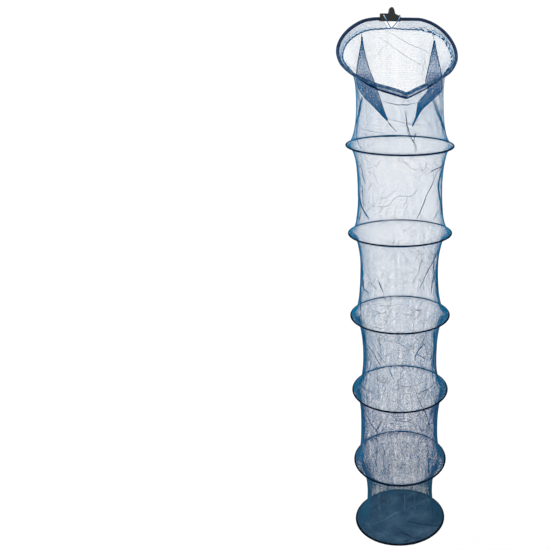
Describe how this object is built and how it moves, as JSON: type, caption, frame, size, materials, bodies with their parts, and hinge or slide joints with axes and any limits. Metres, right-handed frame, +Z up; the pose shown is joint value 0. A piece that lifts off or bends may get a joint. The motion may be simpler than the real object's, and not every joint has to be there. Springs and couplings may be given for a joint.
{
  "type": "hooped keep net",
  "caption": "Hanging fish keep net: a D-shaped tilted mouth frame on a bracket, netting held open by round hoops that fold up, and a closed tail.",
  "frame": {"origin": "middle of the mouth of the threaded socket in the bracket's boss, by which the net is held", "axes": "+Z up along the hanging net, +Y out of the socket to the back, the V of the mouth frame towards -Y, +X to the right seen from the front"},
  "size_m": [0.417, 0.3788, 2.0375],
  "materials": {
    "black_plastic": "moulded black plastic, fine texture",
    "brass": "turned brass insert",
    "screw_steel": "zinc-plated steel",
    "frame_tube": "drawn tube",
    "navy_sleeve": "ribbed navy sleeve wound round the tube, semi-gloss",
    "hoop_wire": "dark coated spring wire",
    "hoop_hem": "netting hem overcast with navy thread",
    "netting": "fine knotless blue mesh",
    "dense_netting": "several layers of fine mesh, dark blue",
    "light_blue_hem": "gathered light blue hem",
    "light_blue_cord": "braided cord, light blue"
  },
  "bodies": {
    "mouth": {"mouth_frame": "frame_tube", "mouth_wrap": "navy_sleeve", "collar_netting": "netting", "collar_hem": "light_blue_hem", "drawstring": "light_blue_cord", "drawstring_knot_1": "light_blue_cord", "drawstring_knot_2": "light_blue_cord", "connector_block": "black_plastic", "connector_clamp": "black_plastic", "connector_screw_1": "screw_steel", "connector_screw_2": "screw_steel", "threaded_insert": "brass", "throat_gore_left": "dense_netting", "throat_gore_right": "dense_netting"},
    "hoop_1_body": {"hoop_1": "hoop_wire", "hoop_1_ferrule": "screw_steel", "hoop_1_hem": "hoop_hem", "netting_1": "netting"},
    "hoop_2_body": {"hoop_2": "hoop_wire", "hoop_2_ferrule": "screw_steel", "hoop_2_hem": "hoop_hem", "netting_2": "netting"},
    "hoop_3_body": {"hoop_3": "hoop_wire", "hoop_3_ferrule": "screw_steel", "hoop_3_hem": "hoop_hem", "netting_3": "netting"},
    "hoop_4_body": {"hoop_4": "hoop_wire", "hoop_4_ferrule": "screw_steel", "hoop_4_hem": "hoop_hem", "netting_4": "netting"},
    "hoop_5_body": {"hoop_5": "hoop_wire", "hoop_5_ferrule": "screw_steel", "hoop_5_hem": "hoop_hem", "netting_5": "netting"},
    "hoop_6_body": {"hoop_6": "hoop_wire", "hoop_6_ferrule": "screw_steel", "hoop_6_hem": "hoop_hem", "netting_6": "netting", "tail_panel": "dense_netting"}
  },
  "joints": [
    {"name": "hoop_1_lift", "type": "slide", "parent": "mouth", "child": "hoop_1_body", "axis": [0, 0, 1], "range_m": [0, 0.12], "deforming": ["netting_1"]},
    {"name": "hoop_2_lift", "type": "slide", "parent": "hoop_1_body", "child": "hoop_2_body", "axis": [0, 0, 1], "range_m": [0, 0.278], "deforming": ["netting_2"]},
    {"name": "hoop_3_lift", "type": "slide", "parent": "hoop_2_body", "child": "hoop_3_body", "axis": [0, 0, 1], "range_m": [0, 0.3], "deforming": ["netting_3"]},
    {"name": "hoop_4_lift", "type": "slide", "parent": "hoop_3_body", "child": "hoop_4_body", "axis": [0, 0, 1], "range_m": [0, 0.297], "deforming": ["netting_4"]},
    {"name": "hoop_5_lift", "type": "slide", "parent": "hoop_4_body", "child": "hoop_5_body", "axis": [0, 0, 1], "range_m": [0, 0.304], "deforming": ["netting_5"]},
    {"name": "hoop_6_lift", "type": "slide", "parent": "hoop_5_body", "child": "hoop_6_body", "axis": [0, 0, 1], "range_m": [0, 0.262], "deforming": ["netting_6"]}
  ]
}
